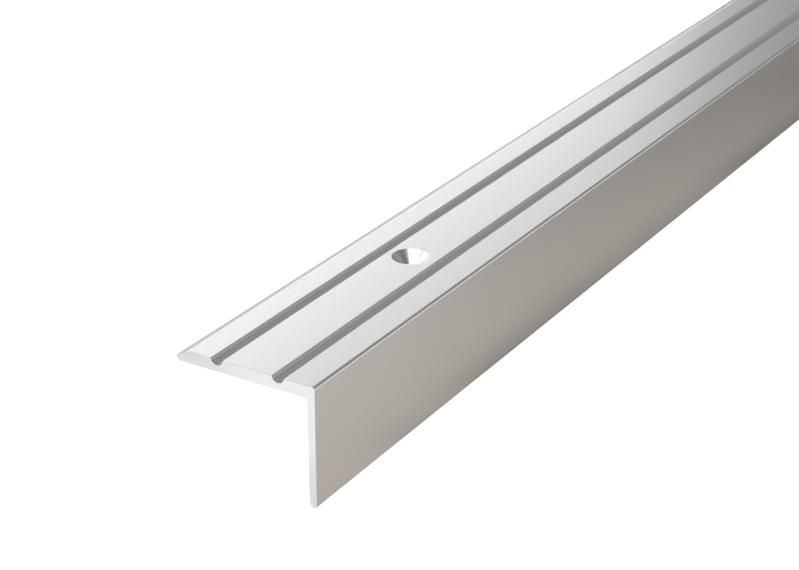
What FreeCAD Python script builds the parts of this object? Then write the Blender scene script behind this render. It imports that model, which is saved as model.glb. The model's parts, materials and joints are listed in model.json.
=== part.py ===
import FreeCAD, Part
import math
import os
from enum import IntEnum

import Sketcher

# Stair nosing: one length of extruded and anodised aluminium angle. A tread flange lies on the step and a
# riser leg hangs down in front of it. Two lengthwise grooves give the tread its grip, and a row of
# countersunk screw holes runs between them.
# The section is drawn with the tread's top on the X axis and the riser's outer face on the Z axis. The
# profile runs along Y, half of it each side of the origin.

doc = FreeCAD.newDocument("stair_nosing")

# Driving sizes in millimetres and degrees
SIZES = {
    "profile_length": 900.0,
    "tread_width": 24.5,
    "tread_thickness": 2.0,
    "riser_height": 20.0,
    "riser_thickness": 1.25,
    "corner_radius": 0.42,
    "inside_radius": 0.35,
    "nose_radius": 0.55,
    "bevel_angle": 22.0,
    "groove_width": 2.1,
    "groove_depth": 0.95,
    "front_groove_offset": 6.3,
    "rear_groove_offset": 17.1,
    "notch_width": 0.5,
    "notch_depth": 0.25,
    "upper_notch_drop": 10.1,
    "lower_notch_drop": 11.3,
    "screw_hole_diameter": 2.5,
    "countersink_diameter": 6.25,
    "countersink_angle": 90.0,
    "hole_line_offset": 11.9,
    "hole_end_margin": 46.1,
    "hole_count": 5,
}

sizes = doc.addObject("Spreadsheet::Sheet", "sizes")
for row, (alias, value) in enumerate(SIZES.items(), start=1):
    sizes.set(f"A{row}", alias)
    sizes.set(f"B{row}", str(value))
    sizes.setAlias(f"B{row}", alias)
doc.recompute()


def origin_feature(body, role):
    """The body's own origin plane or axis with this role."""
    return next(item for item in body.Origin.OriginFeatures if item.Role == role)


def new_sketch(body, name, role):
    """An empty sketch of the body on one of its origin planes."""
    sketch = body.newObject("Sketcher::SketchObject", name)
    sketch.AttachmentSupport = (origin_feature(body, role), [""])
    sketch.MapMode = "FlatFace"
    return sketch


def constrain(sketch, name, formula, *definition):
    """A named dimension of the sketch, bound to a formula of the sheet's cells."""
    index = sketch.addConstraint(Sketcher.Constraint(*definition))
    sketch.renameConstraint(index, name)
    sketch.setExpression(f"Constraints.{name}", formula)


def check_sketch(sketch):
    """Stops unless the sketch solves and every dimension of it is fixed."""
    doc.recompute()
    if sketch.solve() != 0 or not sketch.FullyConstrained:
        raise RuntimeError(f"{sketch.Name} isn't fully constrained")


def check_cut(feature, before):
    """Stops unless the feature left less material than the one before it."""
    doc.recompute()
    if feature.Shape.Volume >= before.Shape.Volume:
        raise RuntimeError(f"{feature.Name} cut nothing")


# The sketcher's own numbers for a place on an edge and for the two axes of a sketch
Place = IntEnum("Place", "START END CENTRE")
Axis = IntEnum("Axis", {"HORIZONTAL": -1, "VERTICAL": -2})
ORIGIN = (Axis.HORIZONTAL, Place.START)
UP = FreeCAD.Vector(0, 0, 1)


def line(sketch, start, end):
    """A straight side of a sketch, and its index."""
    return sketch.addGeometry(Part.LineSegment(FreeCAD.Vector(*start, 0), FreeCAD.Vector(*end, 0)))


def arc(sketch, centre, radius, first_angle, last_angle):
    """An arc drawn anticlockwise between two angles in degrees, and its index."""
    circle = Part.Circle(FreeCAD.Vector(*centre, 0), UP, radius)
    return sketch.addGeometry(Part.ArcOfCircle(circle, math.radians(first_angle), math.radians(last_angle)))


nosing = doc.addObject("PartDesign::Body", "nosing_profile")
nosing.Label = "nosing_profile"

# Angle section: flat tread with a bevelled and rounded back edge, thinner riser leg with a fully rounded foot
foot_radius = sizes.riser_thickness / 2
nose_x = sizes.nose_radius - sizes.tread_width
nose_z = sizes.nose_radius - sizes.tread_thickness
foot_z = foot_radius - sizes.riser_height
inside_x = -sizes.riser_thickness - sizes.inside_radius
inside_z = -sizes.tread_thickness - sizes.inside_radius
bevel = math.radians(sizes.bevel_angle)
bevel_foot = (nose_x - sizes.nose_radius * math.sin(bevel), nose_z + sizes.nose_radius * math.cos(bevel))
bevel_top = (bevel_foot[0] - bevel_foot[1] / math.tan(bevel), 0)

section = new_sketch(nosing, "angle_section", "XZ_Plane")
top = line(section, bevel_top, (-sizes.corner_radius, 0))
corner = arc(section, (-sizes.corner_radius, -sizes.corner_radius), sizes.corner_radius, 0, 90)
outer = line(section, (0, -sizes.corner_radius), (0, foot_z))
foot = arc(section, (-foot_radius, foot_z), foot_radius, 180, 360)
inner = line(section, (-sizes.riser_thickness, foot_z), (-sizes.riser_thickness, inside_z))
inside = arc(section, (inside_x, inside_z), sizes.inside_radius, 0, 90)
underside = line(section, (inside_x, -sizes.tread_thickness), (nose_x, -sizes.tread_thickness))
nose = arc(section, (nose_x, nose_z), sizes.nose_radius, 90 + sizes.bevel_angle, 270)
slope = line(section, bevel_foot, bevel_top)

for first, first_end, second, second_end in (
    (top, Place.END, corner, Place.END),
    (corner, Place.START, outer, Place.START),
    (outer, Place.END, foot, Place.END),
    (foot, Place.START, inner, Place.START),
    (inner, Place.END, inside, Place.START),
    (inside, Place.END, underside, Place.START),
    (underside, Place.END, nose, Place.END),
    (nose, Place.START, slope, Place.START),
):
    section.addConstraint(Sketcher.Constraint("Tangent", first, first_end, second, second_end))
section.addConstraint(Sketcher.Constraint("Coincident", slope, Place.END, top, Place.START))
for level in (top, underside):
    section.addConstraint(Sketcher.Constraint("Horizontal", level))
for upright in (outer, inner):
    section.addConstraint(Sketcher.Constraint("Vertical", upright))
section.addConstraint(Sketcher.Constraint("PointOnObject", top, Place.END, Axis.HORIZONTAL))
section.addConstraint(Sketcher.Constraint("PointOnObject", outer, Place.START, Axis.VERTICAL))
constrain(section, "corner_radius", "sizes.corner_radius", "Radius", corner, sizes.corner_radius)
constrain(section, "inside_radius", "sizes.inside_radius", "Radius", inside, sizes.inside_radius)
constrain(section, "nose_radius", "sizes.nose_radius", "Radius", nose, sizes.nose_radius)
constrain(section, "bevel_angle", "sizes.bevel_angle * 1 deg", "Angle", slope, bevel)
constrain(
    section, "riser_thickness", "sizes.riser_thickness",
    "DistanceX", inner, Place.START, *ORIGIN, sizes.riser_thickness,
)
constrain(
    section, "tread_thickness", "sizes.tread_thickness",
    "DistanceY", underside, Place.START, *ORIGIN, sizes.tread_thickness,
)
constrain(
    section, "nose_place", "sizes.tread_width - sizes.nose_radius",
    "DistanceX", nose, Place.CENTRE, *ORIGIN, -nose_x,
)
constrain(
    section, "foot_place", "sizes.riser_height - sizes.riser_thickness / 2",
    "DistanceY", foot, Place.CENTRE, *ORIGIN, -foot_z,
)
check_sketch(section)

profile = nosing.newObject("PartDesign::Pad", "extruded_profile")
profile.Profile = section
profile.SideType = "Symmetric"
profile.setExpression("Length", "sizes.profile_length")
doc.recompute()

# Anti-slip grooves: two nearly half-round channels along the tread, each the lower part of a circle
GROOVE_RADIUS = "(sizes.groove_width ^ 2 / 4 + sizes.groove_depth ^ 2) / (2 * sizes.groove_depth)"
groove_radius = (sizes.groove_width**2 / 4 + sizes.groove_depth**2) / (2 * sizes.groove_depth)
groove_z = groove_radius - sizes.groove_depth

groove_rounds = new_sketch(nosing, "groove_rounds", "XZ_Plane")
for place in ("front_groove_offset", "rear_groove_offset"):
    offset = getattr(sizes, place)
    centre = FreeCAD.Vector(-offset, groove_z, 0)
    groove = groove_rounds.addGeometry(Part.Circle(centre, UP, groove_radius))
    constrain(groove_rounds, f"{place}_radius", GROOVE_RADIUS, "Radius", groove, groove_radius)
    constrain(groove_rounds, place, f"sizes.{place}", "DistanceX", groove, Place.CENTRE, *ORIGIN, offset)
    constrain(
        groove_rounds, f"{place}_rise", f"{GROOVE_RADIUS} - sizes.groove_depth",
        "DistanceY", *ORIGIN, groove, Place.CENTRE, groove_z,
    )
check_sketch(groove_rounds)

grooves = nosing.newObject("PartDesign::Pocket", "anti_slip_grooves")
grooves.Profile = groove_rounds
grooves.Type = "ThroughAll"
grooves.SideType = "Symmetric"
check_cut(grooves, profile)

# Glue keys: two small V notches along the riser's inner face
notch_vees = new_sketch(nosing, "notch_vees", "XZ_Plane")
for place in ("upper_notch_drop", "lower_notch_drop"):
    face_x = -sizes.riser_thickness
    tip = (face_x + sizes.notch_depth, -getattr(sizes, place))
    lower = (face_x, tip[1] - sizes.notch_width / 2)
    upper = (face_x, tip[1] + sizes.notch_width / 2)
    sides = [line(notch_vees, *ends) for ends in ((lower, tip), (tip, upper), (upper, lower))]
    for first, second in zip(sides, sides[1:] + sides[:1]):
        notch_vees.addConstraint(Sketcher.Constraint("Coincident", first, Place.END, second, Place.START))
    notch_vees.addConstraint(Sketcher.Constraint("Vertical", sides[2]))
    notch_vees.addConstraint(Sketcher.Constraint("Equal", sides[0], sides[1]))
    constrain(
        notch_vees, f"{place}_face", "sizes.riser_thickness",
        "DistanceX", sides[2], Place.START, *ORIGIN, sizes.riser_thickness,
    )
    constrain(
        notch_vees, f"{place}_depth", "sizes.notch_depth",
        "DistanceX", sides[0], Place.START, sides[0], Place.END, sizes.notch_depth,
    )
    constrain(
        notch_vees, f"{place}_width", "sizes.notch_width",
        "DistanceY", sides[2], Place.END, sides[2], Place.START, sizes.notch_width,
    )
    constrain(notch_vees, place, f"sizes.{place}", "DistanceY", sides[0], Place.END, *ORIGIN, -tip[1])
check_sketch(notch_vees)

notches = nosing.newObject("PartDesign::Pocket", "glue_notches")
notches.Profile = notch_vees
notches.Type = "ThroughAll"
notches.SideType = "Symmetric"
check_cut(notches, grooves)

# Screw holes: countersunk through the tread between the grooves, the same margin at both ends
first_hole_y = sizes.hole_end_margin - sizes.profile_length / 2
hole_centre = new_sketch(nosing, "first_hole_centre", "XY_Plane")
mark = hole_centre.addGeometry(
    Part.Circle(FreeCAD.Vector(-sizes.hole_line_offset, first_hole_y, 0), UP, sizes.screw_hole_diameter / 2)
)
constrain(
    hole_centre, "hole_diameter", "sizes.screw_hole_diameter",
    "Diameter", mark, sizes.screw_hole_diameter,
)
constrain(
    hole_centre, "hole_line_offset", "sizes.hole_line_offset",
    "DistanceX", mark, Place.CENTRE, *ORIGIN, sizes.hole_line_offset,
)
constrain(
    hole_centre, "first_hole_place", "sizes.profile_length / 2 - sizes.hole_end_margin",
    "DistanceY", mark, Place.CENTRE, *ORIGIN, -first_hole_y,
)
check_sketch(hole_centre)

screw_hole = nosing.newObject("PartDesign::Hole", "screw_hole")
screw_hole.Profile = hole_centre
doc.recompute()
screw_hole.Threaded = False
screw_hole.DepthType = "ThroughAll"
screw_hole.HoleCutType = "Countersink"
screw_hole.HoleCutCustomValues = True
screw_hole.setExpression("Diameter", "sizes.screw_hole_diameter")
screw_hole.setExpression("HoleCutDiameter", "sizes.countersink_diameter")
screw_hole.setExpression("HoleCutCountersinkAngle", "sizes.countersink_angle")
check_cut(screw_hole, notches)

hole_row = nosing.newObject("PartDesign::LinearPattern", "screw_hole_row")
hole_row.Originals = [screw_hole]
hole_row.Direction = (origin_feature(nosing, "Y_Axis"), [""])
hole_row.setExpression("Length", "sizes.profile_length - 2 * sizes.hole_end_margin")
hole_row.setExpression("Occurrences", "sizes.hole_count")
nosing.Tip = hole_row
check_cut(hole_row, screw_hole)

# Resting pose: the angle lies corner up, on the rounded nose and the rounded foot. The section turns about
# the length until the line under both rounds is level, and then stands on Z = 0, centred across.
span_x = -foot_radius - nose_x
span_z = foot_z - nose_z
tilt = math.atan2(-span_z, span_x) - math.asin((sizes.nose_radius - foot_radius) / math.hypot(span_x, span_z))
turn = FreeCAD.Rotation(FreeCAD.Vector(0, -1, 0), math.degrees(tilt))
nose_centre = turn.multVec(FreeCAD.Vector(nose_x, 0, nose_z))
foot_centre = turn.multVec(FreeCAD.Vector(-foot_radius, 0, foot_z))
left_x = nose_centre.x - sizes.nose_radius
right_x = foot_centre.x + foot_radius
shift = FreeCAD.Vector(-(left_x + right_x) / 2, 0, sizes.nose_radius - nose_centre.z)
nosing.Placement = FreeCAD.Placement(shift, turn)
doc.recompute()

for item in doc.Objects:
    if "Invalid" in item.State or "Error" in item.State:
        raise RuntimeError(f"{item.Name} failed")
if nosing.Shape.isNull() or not nosing.Shape.isValid() or len(nosing.Shape.Solids) != 1:
    raise RuntimeError("the profile isn't one valid solid")

os.makedirs("parts", exist_ok=True)
nosing.Shape.exportStep(f"parts/{nosing.Label}.step")
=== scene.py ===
import json
import math

import bmesh
import bpy
from mathutils import Matrix, Vector


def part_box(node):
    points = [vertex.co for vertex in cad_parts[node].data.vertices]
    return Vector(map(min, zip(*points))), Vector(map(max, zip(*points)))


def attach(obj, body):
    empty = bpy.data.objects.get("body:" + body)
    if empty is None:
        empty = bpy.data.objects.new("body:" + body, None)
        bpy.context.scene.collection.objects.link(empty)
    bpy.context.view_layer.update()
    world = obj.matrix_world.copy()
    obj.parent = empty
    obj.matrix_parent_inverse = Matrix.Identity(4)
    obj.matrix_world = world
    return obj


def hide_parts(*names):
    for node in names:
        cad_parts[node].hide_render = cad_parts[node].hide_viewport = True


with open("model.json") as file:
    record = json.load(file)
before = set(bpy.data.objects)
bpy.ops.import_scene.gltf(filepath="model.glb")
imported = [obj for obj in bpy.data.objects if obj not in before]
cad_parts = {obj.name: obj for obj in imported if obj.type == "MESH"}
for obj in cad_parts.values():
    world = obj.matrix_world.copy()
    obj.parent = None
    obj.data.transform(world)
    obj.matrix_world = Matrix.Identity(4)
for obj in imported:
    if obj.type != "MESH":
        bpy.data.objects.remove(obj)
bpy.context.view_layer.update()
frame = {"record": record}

# The nosing as it lies: one anodised aluminium angle, corner up, on its rounded back edge and its foot.
# It is shaped in millimetres with the tread's top level at Z 0 and the riser's face upright at X 0, then
# turned about its length by the tilt of its screw holes, and set down so that those holes are in place.
MILLIMETRE = 0.001
HOLE_OFFSET = 11.9
TREAD_THICKNESS = 2.0
node_low, node_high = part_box("nosing_profile")
LENGTH = (node_high.y - node_low.y) / MILLIMETRE
screw_holes = [mount for mount in frame["record"]["mounts"] if mount["kind"] == "bore"]
hole_places = [mount["pos_m"][1] / MILLIMETRE for mount in screw_holes]
hole_axis = Vector(screw_holes[0]["axis"])
straight_depth = screw_holes[0]["dims"]["length_mm"]
TILT = math.atan2(-hole_axis.x, hole_axis.z)
hole_middle = Vector((-HOLE_OFFSET, hole_places[0], straight_depth / 2 - TREAD_THICKNESS)) * MILLIMETRE
turn_down = Matrix.Rotation(-TILT, 4, "Y")
set_down = Matrix.Translation(Vector(screw_holes[0]["pos_m"]) - turn_down @ hole_middle) @ turn_down


# Satin anodised aluminium: the extrusion is etched, then anodised in its natural silver. That leaves a
# soft grey shine, with faint lines along the profile where the die drew it and an even fine grain. Real
# lines and grain are several times finer, and are drawn this coarse so that the render shows them.
def linear(hex_colour):
    """A hex sRGB colour as the linear red, green, blue and alpha that a socket takes."""
    shares = [int(hex_colour[start : start + 2], 16) / 255 for start in (1, 3, 5)]
    colour = [share / 12.92 if share <= 0.04045 else ((share + 0.055) / 1.055) ** 2.4 for share in shares]
    return colour + [1]


def add_node(tree, kind, settings, inputs):
    """One node of a tree, with its settings, and its inputs given as values or as other nodes' outputs."""
    node = tree.nodes.new(kind)
    for name, value in settings.items():
        setattr(node, name, value)
    for name, value in inputs.items():
        if isinstance(value, bpy.types.NodeSocket):
            tree.links.new(value, node.inputs[name])
        else:
            node.inputs[name].default_value = value
    return node


def new_finish(name):
    """A material with an empty tree, and the place on the nosing square to its faces, in metres."""
    finish = bpy.data.materials.new(name)
    finish.use_nodes = True
    finish.node_tree.nodes.clear()
    where = add_node(finish.node_tree, "ShaderNodeTexCoord", {}, {})
    square = set_down.inverted()
    place = add_node(
        finish.node_tree,
        "ShaderNodeMapping",
        {},
        {"Vector": where.outputs["Object"], "Rotation": square.to_euler(), "Location": square.translation},
    )
    return finish, place.outputs["Vector"]


DIE_LINE_SPACING = 0.3
DIE_LINE_LENGTH = 150
GRAIN_SIZE = 0.15
GRAIN_HEIGHT = 0.001
SATIN_TONES = ("#dcdcdb", "#dfdfde")
SATIN_ROUGHNESS = (0.275, 0.29)
NOISE_REACH = (0.3, 0.7)  # most of a noise texture's values lie between these

satin_anodised, place = new_finish("satin_anodised_aluminium")
tree = satin_anodised.node_tree
across = 1 / (DIE_LINE_SPACING * MILLIMETRE)
along = 1 / (DIE_LINE_LENGTH * MILLIMETRE)
drawn = add_node(tree, "ShaderNodeMapping", {}, {"Vector": place, "Scale": (across, along, across)})
die_lines = add_node(
    tree, "ShaderNodeTexNoise", {}, {"Vector": drawn.outputs["Vector"], "Scale": 1, "Detail": 3}
)
grain = add_node(
    tree, "ShaderNodeTexNoise", {}, {"Vector": place, "Scale": 1 / (GRAIN_SIZE * MILLIMETRE), "Detail": 1}
)
tone = add_node(
    tree,
    "ShaderNodeMix",
    {"data_type": "RGBA"},
    {"Factor": die_lines.outputs["Fac"], "A": linear(SATIN_TONES[0]), "B": linear(SATIN_TONES[1])},
)
gloss = add_node(
    tree,
    "ShaderNodeMapRange",
    {},
    {
        "Value": die_lines.outputs["Fac"],
        "From Min": NOISE_REACH[0],
        "From Max": NOISE_REACH[1],
        "To Min": SATIN_ROUGHNESS[0],
        "To Max": SATIN_ROUGHNESS[1],
    },
)
etched = add_node(
    tree,
    "ShaderNodeBump",
    {},
    {"Height": grain.outputs["Fac"], "Strength": 0.1, "Distance": GRAIN_HEIGHT * MILLIMETRE},
)
metal = add_node(
    tree,
    "ShaderNodeBsdfPrincipled",
    {},
    {
        "Base Color": tone.outputs["Result"],
        "Metallic": 1,
        "Roughness": gloss.outputs["Result"],
        "Normal": etched.outputs["Normal"],
    },
)
add_node(tree, "ShaderNodeOutputMaterial", {}, {"Surface": metal.outputs["BSDF"]})

# Extruded angle: the tread flange and the thinner riser leg come out of the die as one section, with a
# bevelled and rounded back edge, a small round at the outer corner and a fully rounded foot.
TREAD_WIDTH = 24.5
RISER_HEIGHT = 20.0
RISER_THICKNESS = 1.25
CORNER_RADIUS = 0.42
INSIDE_RADIUS = 0.35
NOSE_RADIUS = 0.55
BEVEL_ANGLE = math.radians(22)
MERGE = 0.001
FACING = 0.9  # the least share of a normal that counts as facing one way


def select_edges(part, test):
    """Selects those edges of the part, open in edit mode, whose two ends pass a test of their place."""
    bpy.ops.mesh.select_mode(type="EDGE")
    bpy.ops.mesh.select_all(action="DESELECT")
    shape = bmesh.from_edit_mesh(part.data)
    for edge in shape.edges:
        edge.select_set(all(test(end.co) for end in edge.verts))
    bmesh.update_edit_mesh(part.data)


def select_faces(part, test):
    """Selects those faces of the part, open in edit mode, that pass a test of their centre and normal."""
    bpy.ops.mesh.select_mode(type="FACE")
    bpy.ops.mesh.select_all(action="DESELECT")
    shape = bmesh.from_edit_mesh(part.data)
    for face in shape.faces:
        face.select_set(test(face.calc_center_median(), face.normal))
    bmesh.update_edit_mesh(part.data)


def round_edge(part, x, z, tangent, segments):
    """Rounds the lengthwise edge at one place of the section, back to a tangent length on both sides."""
    select_edges(part, lambda end: abs(end.x - x) < MERGE and abs(end.z - z) < MERGE)
    bpy.ops.mesh.bevel(offset_type="OFFSET", offset=tangent, segments=segments, profile=0.5)
    bpy.ops.mesh.select_all(action="SELECT")
    bpy.ops.mesh.remove_doubles(threshold=MERGE)


bpy.ops.object.select_all(action="DESELECT")
bpy.ops.mesh.primitive_cube_add(
    size=1,
    location=(-TREAD_WIDTH / 2, 0, -TREAD_THICKNESS / 2),
    scale=(TREAD_WIDTH, LENGTH, TREAD_THICKNESS),
)
nosing = bpy.context.object
nosing.name = "anodised_nosing"
nosing.data.materials.append(satin_anodised)
bpy.ops.object.transform_apply(location=True, rotation=True, scale=True)

bpy.ops.object.mode_set(mode="EDIT")
bpy.ops.mesh.bisect(plane_co=(-RISER_THICKNESS, 0, 0), plane_no=(1, 0, 0))
select_faces(nosing, lambda centre, normal: centre.x > -RISER_THICKNESS and normal.z < -FACING)
bpy.ops.mesh.extrude_region_move(
    TRANSFORM_OT_translate={"value": (0, 0, TREAD_THICKNESS - RISER_HEIGHT)}
)

nose_tangent = NOSE_RADIUS * math.tan(math.radians(45) - BEVEL_ANGLE / 2)
nose_top = NOSE_RADIUS + nose_tangent - TREAD_THICKNESS
bevel_width = -nose_top / math.tan(BEVEL_ANGLE)
bpy.ops.mesh.select_all(action="SELECT")
bpy.ops.mesh.bisect(plane_co=(bevel_width - TREAD_WIDTH, 0, 0), plane_no=(1, 0, 0))
select_edges(nosing, lambda end: end.x < MERGE - TREAD_WIDTH and end.z > -MERGE)
bpy.ops.transform.translate(value=(0, 0, nose_top))
round_edge(nosing, -TREAD_WIDTH, nose_top, nose_tangent, segments=12)
round_edge(nosing, -TREAD_WIDTH, -TREAD_THICKNESS, NOSE_RADIUS, segments=16)
round_edge(nosing, 0, 0, CORNER_RADIUS, segments=20)
round_edge(nosing, -RISER_THICKNESS, -TREAD_THICKNESS, INSIDE_RADIUS, segments=10)
round_edge(nosing, 0, -RISER_HEIGHT, RISER_THICKNESS / 2, segments=16)
round_edge(nosing, -RISER_THICKNESS, -RISER_HEIGHT, RISER_THICKNESS / 2, segments=16)
bpy.ops.object.mode_set(mode="OBJECT")

# Channels: two nearly half-round anti-slip grooves along the tread, and two small V notches along the
# inside of the riser that give the glue a hold. The same etch and anodising cover them, but the die's
# narrow ribs leave closer lines there, so that their walls are a little more matt than the faces.
GROOVE_WIDTH = 2.1
GROOVE_DEPTH = 0.95
GROOVE_OFFSETS = (6.3, 17.1)
GROOVE_SIDES = 96
NOTCH_DEPTH = 0.25
NOTCH_DROPS = (10.1, 11.3)
NOTCH_SIDES = 4  # a square bar on its edge
OVERRUN = 1.0
LINES_CLOSER = 2
MATT_ROUGHNESS = (0.32, 0.36)
groove_radius = (GROOVE_WIDTH**2 / 4 + GROOVE_DEPTH**2) / (2 * GROOVE_DEPTH)

matt_anodised, place = new_finish("matt_anodised_aluminium")
tree = matt_anodised.node_tree
drawn = add_node(tree, "ShaderNodeMapping", {}, {"Vector": place, "Scale": (across, along, across)})
die_lines = add_node(
    tree, "ShaderNodeTexNoise", {}, {"Vector": drawn.outputs["Vector"], "Scale": LINES_CLOSER, "Detail": 3}
)
gloss = add_node(
    tree,
    "ShaderNodeMapRange",
    {},
    {
        "Value": die_lines.outputs["Fac"],
        "From Min": NOISE_REACH[0],
        "From Max": NOISE_REACH[1],
        "To Min": MATT_ROUGHNESS[0],
        "To Max": MATT_ROUGHNESS[1],
    },
)
metal = add_node(
    tree,
    "ShaderNodeBsdfPrincipled",
    {},
    {"Base Color": linear("#dfdedd"), "Metallic": 1, "Roughness": gloss.outputs["Result"]},
)
add_node(tree, "ShaderNodeOutputMaterial", {}, {"Surface": metal.outputs["BSDF"]})


def cut_away(part, cutters, finish):
    """Cuts the cutters out of the part, gives the cut faces their finish, and deletes the cutters."""
    bpy.ops.object.select_all(action="DESELECT")
    for cutter in cutters:
        cutter.select_set(True)
    bpy.context.view_layer.objects.active = cutters[0]
    bpy.ops.object.join()
    cutters[0].data.materials.append(finish)
    part.data.materials.append(finish)
    cut = part.modifiers.new("cut", "BOOLEAN")
    cut.operation = "DIFFERENCE"
    cut.solver = "EXACT"
    cut.material_mode = "TRANSFER"
    cut.object = cutters[0]
    bpy.context.view_layer.objects.active = part
    bpy.ops.object.modifier_apply(modifier=cut.name)
    bpy.data.objects.remove(cutters[0])


def lengthwise_bar(x, z, radius, sides):
    """A bar as long as the profile and a little more, with its axis at one place of the section."""
    bpy.ops.mesh.primitive_cylinder_add(
        vertices=sides,
        radius=radius,
        depth=LENGTH + 2 * OVERRUN,
        location=(x, 0, z),
        rotation=(math.pi / 2, 0, 0),
    )
    return bpy.context.object


groove_axis = groove_radius - GROOVE_DEPTH
channels = [lengthwise_bar(-offset, groove_axis, groove_radius, GROOVE_SIDES) for offset in GROOVE_OFFSETS]
channels += [lengthwise_bar(-RISER_THICKNESS, -drop, NOTCH_DEPTH, NOTCH_SIDES) for drop in NOTCH_DROPS]
cut_away(nosing, channels, matt_anodised)

# Screw holes: drilled and countersunk from above, in a row between the grooves. The cone takes most of
# the flange's thickness and leaves a short straight hole. The cutter goes through the anodising to bare
# aluminium, which is a little lighter, with fine rings at the pitch that the cutter was fed.
HOLE_RADIUS = screw_holes[0]["dims"]["r_mm"]
HOLE_SIDES = 128
COUNTERSINK_ANGLE = math.radians(90)
TURNING_PITCH = 0.11
RING_HEIGHT = 0.001
cone_depth = TREAD_THICKNESS - straight_depth


def wave_scale(pitch):
    """The scale at which a wave texture, at 20 radians a unit, repeats at a pitch in millimetres."""
    return 2 * math.pi / 20 / (pitch * MILLIMETRE)


turned_bare, place = new_finish("turned_aluminium")
tree = turned_bare.node_tree
rings = add_node(
    tree,
    "ShaderNodeTexWave",
    {"wave_type": "BANDS", "bands_direction": "Z"},
    {"Vector": place, "Scale": wave_scale(TURNING_PITCH), "Distortion": 0.4},
)
cutter_marks = add_node(
    tree,
    "ShaderNodeBump",
    {},
    {"Height": rings.outputs["Fac"], "Strength": 0.15, "Distance": RING_HEIGHT * MILLIMETRE},
)
metal = add_node(
    tree,
    "ShaderNodeBsdfPrincipled",
    {},
    {
        "Base Color": linear("#ebebea"),
        "Metallic": 1,
        "Roughness": 0.28,
        "Normal": cutter_marks.outputs["Normal"],
    },
)
add_node(tree, "ShaderNodeOutputMaterial", {}, {"Surface": metal.outputs["BSDF"]})

bpy.ops.object.select_all(action="DESELECT")
drill_bottom = -TREAD_THICKNESS - OVERRUN
bpy.ops.mesh.primitive_cylinder_add(
    vertices=HOLE_SIDES,
    radius=HOLE_RADIUS,
    depth=-cone_depth - drill_bottom,
    location=(-HOLE_OFFSET, hole_places[0], (drill_bottom - cone_depth) / 2),
)
drill = bpy.context.object
bpy.ops.object.transform_apply(location=True, rotation=True, scale=True)
bpy.ops.object.mode_set(mode="EDIT")
select_faces(drill, lambda centre, normal: normal.z > FACING)
cone_height = cone_depth + OVERRUN
cone_spread = 1 + cone_height * math.tan(COUNTERSINK_ANGLE / 2) / HOLE_RADIUS
bpy.ops.mesh.extrude_region_move(TRANSFORM_OT_translate={"value": (0, 0, cone_height)})
bpy.ops.transform.resize(
    value=(cone_spread, cone_spread, 1), center_override=(-HOLE_OFFSET, hole_places[0], OVERRUN)
)
bpy.ops.object.mode_set(mode="OBJECT")
drills = [drill]
for hole_place in hole_places[1:]:
    bpy.ops.object.select_all(action="DESELECT")
    drill.select_set(True)
    bpy.context.view_layer.objects.active = drill
    bpy.ops.object.duplicate(linked=False)
    bpy.ops.transform.translate(value=(0, hole_place - hole_places[0], 0))
    drills.append(bpy.context.object)
cut_away(nosing, drills, turned_bare)

# Saw-cut ends: the bar is cut square to length after anodising, so both ends are bare metal, with faint
# arcs from the round saw blade. The arcs are drawn further apart than real ones, so that they show.
BLADE_RADIUS = 150
SAW_PITCH = 0.28
SAW_MARK_HEIGHT = 0.002

sawn_bare, place = new_finish("sawn_aluminium")
tree = sawn_bare.node_tree
blade = add_node(
    tree,
    "ShaderNodeMapping",
    {},
    {"Vector": place, "Location": (0, 0, BLADE_RADIUS * MILLIMETRE)},
)
arcs = add_node(
    tree,
    "ShaderNodeTexWave",
    {"wave_type": "RINGS", "rings_direction": "Y"},
    {
        "Vector": blade.outputs["Vector"],
        "Scale": wave_scale(SAW_PITCH),
        "Distortion": 1.5,
        "Detail": 1,
    },
)
saw_marks = add_node(
    tree,
    "ShaderNodeBump",
    {},
    {"Height": arcs.outputs["Fac"], "Strength": 0.12, "Distance": SAW_MARK_HEIGHT * MILLIMETRE},
)
metal = add_node(
    tree,
    "ShaderNodeBsdfPrincipled",
    {},
    {
        "Base Color": linear("#e7e7e6"),
        "Metallic": 1,
        "Roughness": 0.38,
        "Normal": saw_marks.outputs["Normal"],
    },
)
add_node(tree, "ShaderNodeOutputMaterial", {}, {"Surface": metal.outputs["BSDF"]})
nosing.data.materials.append(sawn_bare)
nosing.active_material_index = len(nosing.data.materials) - 1
bpy.ops.object.select_all(action="DESELECT")
nosing.select_set(True)
bpy.context.view_layer.objects.active = nosing
bpy.ops.object.mode_set(mode="EDIT")
select_faces(nosing, lambda centre, normal: abs(normal.y) > FACING)
bpy.ops.object.material_slot_assign()
bpy.ops.object.mode_set(mode="OBJECT")

# Arrises: every sharp edge of the section, the saw cuts and the countersinks is broken by a fine round,
# so that it catches a thin line of light. Faces then shade flat, and rounds run smoothly into them.
ARRIS = 0.06
SHARP_ANGLE = math.radians(30)
arris = nosing.modifiers.new("arris", "BEVEL")
arris.width = ARRIS
arris.segments = 2
arris.limit_method = "ANGLE"
arris.angle_limit = SHARP_ANGLE
arris.use_clamp_overlap = False
bpy.ops.object.modifier_apply(modifier=arris.name)
bpy.ops.object.shade_smooth_by_angle(angle=SHARP_ANGLE)
even_shade = nosing.modifiers.new("even_shade", "WEIGHTED_NORMAL")
even_shade.keep_sharp = True
even_shade.weight = 100
bpy.ops.object.modifier_apply(modifier=even_shade.name)

nosing.matrix_world = set_down @ Matrix.Scale(MILLIMETRE, 4)
bpy.ops.object.transform_apply(location=True, rotation=True, scale=True)
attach(nosing, "root")
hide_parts("nosing_profile")

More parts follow.
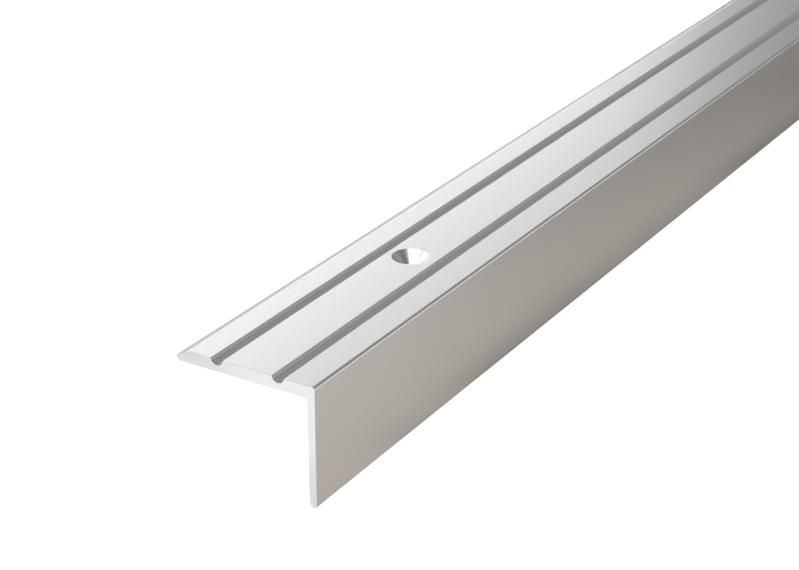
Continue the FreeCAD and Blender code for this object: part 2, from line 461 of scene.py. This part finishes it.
# Table: a plain white top that the nosing lies on. The camera and the metal see it glow white, and its
# own matt share keeps a faint shadow of the nosing.
TABLE_SIZE = 60
TABLE_GLOW = 0.8
bpy.ops.mesh.primitive_plane_add(size=TABLE_SIZE)
table = bpy.context.object
table.name = "table"
matt_white = bpy.data.materials.new("matt_white_table")
matt_white.use_nodes = True
tree = matt_white.node_tree
tree.nodes.clear()
rays = add_node(tree, "ShaderNodeLightPath", {}, {})
seen = rays.outputs["Is Camera Ray"]
for ray_kind in ("Is Glossy Ray", "Is Transmission Ray"):
    either = add_node(
        tree, "ShaderNodeMath", {"operation": "MAXIMUM"}, {0: seen, 1: rays.outputs[ray_kind]}
    )
    seen = either.outputs["Value"]
glow = add_node(tree, "ShaderNodeMath", {"operation": "MULTIPLY"}, {0: seen, 1: TABLE_GLOW})
matt = add_node(tree, "ShaderNodeBsdfDiffuse", {}, {"Color": linear("#b8b8b8")})
lit = add_node(
    tree, "ShaderNodeEmission", {}, {"Color": linear("#ffffff"), "Strength": glow.outputs["Value"]}
)
both = add_node(tree, "ShaderNodeAddShader", {}, {0: matt.outputs["BSDF"], 1: lit.outputs["Emission"]})
add_node(tree, "ShaderNodeOutputMaterial", {}, {"Surface": both.outputs["Shader"]})
table.data.materials.append(matt_white)

# Cards: glowing sheets of one even colour that only the metal's reflections show, painted reflections in
# place of a lit room. Warm grey ones lie on the table before the riser, and narrow strips along its foot,
# the back edge and the near end paint contact shadow into what the metal reflects there. A grey one hangs
# overhead, darker than the room, and a near black one stands across the far end, painted shade there.
CARD_HEIGHT = 0.0002
END_STRIP_HEIGHT = 0.0003
STRIP_HEIGHT = 0.0004
CARDS_NEAR_EDGE = -1.5
CARDS_FAR_EDGE = 2.5
UPRIGHT = (math.pi / 2, 0, 0)
card_across = (node_high.x, node_high.x + 3)
foot_across = (node_high.x - 0.0012, node_high.x + 0.015)


def card(name, middle, size, colour, turn=(0, 0, 0)):
    """A flat card that glows in one even colour, a painted reflection that shows in reflections alone."""
    bpy.ops.mesh.primitive_plane_add(size=1, location=middle, rotation=turn)
    sheet = bpy.context.object
    sheet.name = name
    sheet.scale = (*size, 1)
    painted_reflection = bpy.data.materials.new(name)
    painted_reflection.use_nodes = True
    painted_reflection.node_tree.nodes.clear()
    even = add_node(painted_reflection.node_tree, "ShaderNodeEmission", {}, {"Color": linear(colour), "Strength": 1})
    add_node(painted_reflection.node_tree, "ShaderNodeOutputMaterial", {}, {"Surface": even.outputs["Emission"]})
    sheet.data.materials.append(painted_reflection)
    sheet.visible_camera = False
    sheet.visible_diffuse = False
    sheet.visible_shadow = False


def lay_card(name, x_reach, y_reach, height, colour):
    """A card that lies flat at a height over the table, from edge to edge in X and in Y."""
    middle = (sum(x_reach) / 2, sum(y_reach) / 2, height)
    card(name, middle, (x_reach[1] - x_reach[0], y_reach[1] - y_reach[0]), colour)


def back_across(width):
    """The reach in X of a strip of a width under the nosing's back edge."""
    return node_low.x - width, node_low.x


# Painted reflection for the riser: glowing warm grey sheets, the far one darker as painted shade towards
# the far end.
lay_card("near_grey_card", card_across, (CARDS_NEAR_EDGE, -0.21), CARD_HEIGHT, "#aea39a")
lay_card("far_grey_card", card_across, (-0.21, CARDS_FAR_EDGE), CARD_HEIGHT, "#574f49")
# Painted contact shadow: a glowing sheet just before the near end, a little darker than the open table,
# seen only in reflections.
lay_card("end_shade_strip", (-0.017, 0.017), (node_low.y - 0.0064, node_low.y), END_STRIP_HEIGHT, "#f6f6f6")
# Painted contact shadow along the foot of the riser: darker glowing strips, seen only in the metal's
# reflections.
lay_card("front_near_shade_strip", foot_across, (-0.425, -0.4), STRIP_HEIGHT, "#908780")
lay_card("front_second_shade_strip", foot_across, (-0.4, -0.35), STRIP_HEIGHT, "#6d645c")
lay_card("front_third_shade_strip", foot_across, (-0.35, -0.29), STRIP_HEIGHT, "#7d746d")
lay_card("front_far_shade_strip", foot_across, (-0.29, CARDS_FAR_EDGE), STRIP_HEIGHT, "#504842")
# Painted contact shadow behind the back edge, deeper towards the far end, seen only in the metal's
# reflections.
lay_card("rear_near_shade_strip", back_across(0.004), (CARDS_NEAR_EDGE, -0.3), STRIP_HEIGHT, "#d4d4d4")
lay_card("rear_middle_shade_strip", back_across(0.008), (-0.3, -0.25), STRIP_HEIGHT, "#c4c4c4")
lay_card("rear_far_shade_strip", back_across(0.01), (-0.25, CARDS_FAR_EDGE), STRIP_HEIGHT, "#aeaeae")
# Painted shade overhead: a glowing grey sheet, darker than the room, that the metal reflects from above.
lay_card("ceiling_card", (-0.4, 0.8), (-1.1, 0.5), 1.5, "#727272")
# Painted shade: a near black glowing sheet across the far end darkens what the metal reflects there.
card("far_end_shade_card", (0.2225, 0.6, 0.075), (1.355, 0.15), "#383838", UPRIGHT)

# Room and softboxes: a dim even room, with a low bright panel along the left, two taller ones one after
# the other along the right, and a key panel behind the left shoulder. A level of 1 shows as white.
ROOM_LEVEL = 0.33
NEUTRAL_WHITE = "#ffffff"
WARM_WHITE = "#fffcf7"
room = bpy.data.worlds.new("studio_room")
bpy.context.scene.world = room
room.use_nodes = True
room.node_tree.nodes.clear()
air = add_node(
    room.node_tree,
    "ShaderNodeBackground",
    {},
    {"Color": linear(NEUTRAL_WHITE), "Strength": ROOM_LEVEL},
)
add_node(room.node_tree, "ShaderNodeOutputWorld", {}, {"Surface": air.outputs["Background"]})


def softbox(name, middle, aim, width, height, level, colour):
    """A panel light of one level and colour all over its face, turned to the point that it lights."""
    bpy.ops.object.light_add(type="AREA", location=middle)
    light = bpy.context.object
    light.name = name
    light.rotation_euler = (Vector(aim) - Vector(middle)).to_track_quat("-Z", "Y").to_euler()
    light.data.shape = "RECTANGLE"
    light.data.size = width
    light.data.size_y = height
    light.data.energy = level * math.pi * width * height
    light.data.color = linear(colour)[:3]
    light.visible_camera = False


softbox("left_panel", (-1.0, -0.016, 0.03), (0, -0.016, 0.03), 2.97, 0.06, 3.85, NEUTRAL_WHITE)
softbox("right_panel", (1.2, -0.15, 0.4), (0, -0.15, 0.4), 2.7, 0.79, 1.0, WARM_WHITE)
softbox("right_far_panel", (1.2, 1.8, 0.4), (0, 1.8, 0.4), 1.2, 0.79, 1.57, WARM_WHITE)
softbox("key_panel", (-1.0, -1.1, 1.2), (0.07, -0.35, 0.11), 1.7, 1.84, 1.7, NEUTRAL_WHITE)

# Camera: the photograph's view, level with the tread across its width. Its place and the point it looks
# at are in millimetres square to the tread, from the nosing's near end.
NEAR_END = -LENGTH / 2
CAMERA_PLACE = Vector((143.974, NEAR_END - 212.546, 135.527)) * MILLIMETRE
CAMERA_TARGET = Vector((-7.724, NEAR_END + 35.768, 0)) * MILLIMETRE
FOCAL_LENGTH = 92.17
SENSOR_WIDTH = 36
NEAREST_SEEN = 0.01
FARTHEST_SEEN = 200
bpy.ops.object.camera_add()
camera = bpy.context.object
turned = (CAMERA_TARGET - CAMERA_PLACE).to_track_quat("-Z", "Y").to_matrix().to_4x4()
camera.matrix_world = set_down @ Matrix.Translation(CAMERA_PLACE) @ turned
camera.data.lens = FOCAL_LENGTH
camera.data.sensor_width = SENSOR_WIDTH
camera.data.clip_start = NEAREST_SEEN
camera.data.clip_end = FARTHEST_SEEN
bpy.context.scene.camera = camera
bpy.context.scene.view_settings.view_transform = "Standard"
